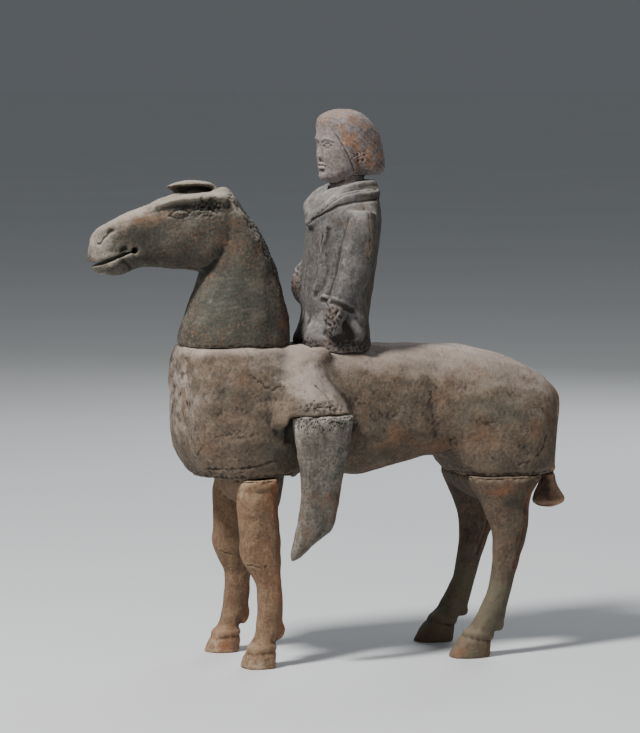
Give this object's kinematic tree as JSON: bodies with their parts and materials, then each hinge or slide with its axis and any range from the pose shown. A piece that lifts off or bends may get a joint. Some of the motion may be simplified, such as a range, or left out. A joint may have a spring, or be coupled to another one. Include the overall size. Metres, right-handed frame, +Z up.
{
  "type": "earthenware cavalryman tomb figure",
  "caption": "Unglazed earthenware tomb figure of a standing horse with a robed rider, assembled from separately fired pieces, hands and one ear broken off.",
  "frame": {"origin": "on the floor under the middle of the figure's box", "axes": "the horse looks along -X, its left side is -Y, +Z is up"},
  "size_m": [0.537, 0.198, 0.5885],
  "materials": {
    "trunk_clay": "unglazed grey-brown earthenware, matt, with burial dirt",
    "head_clay": "unglazed dark grey earthenware, matt, freckled with rust",
    "front_leg_clay": "unglazed ochre earthenware, matt",
    "hind_leg_clay": "unglazed brown-grey earthenware, matt, with orange patches",
    "tail_clay": "unglazed rust-brown earthenware, matt",
    "torso_clay": "unglazed blue-grey earthenware, matt",
    "rider_head_clay": "unglazed purple-grey earthenware, matt, with orange patches on the hair",
    "boot_clay": "unglazed dark slate earthenware, matt, chalky at its broken top"
  },
  "bodies": {
    "root": {"horse_trunk": "trunk_clay", "horse_head_and_neck": "head_clay", "front_legs": "front_leg_clay", "hind_legs": "hind_leg_clay", "tail": "tail_clay", "rider_torso": "torso_clay", "rider_head": "rider_head_clay", "rider_left_lower_leg": "boot_clay", "rider_right_lower_leg": "boot_clay"}
  },
  "joints": []
}
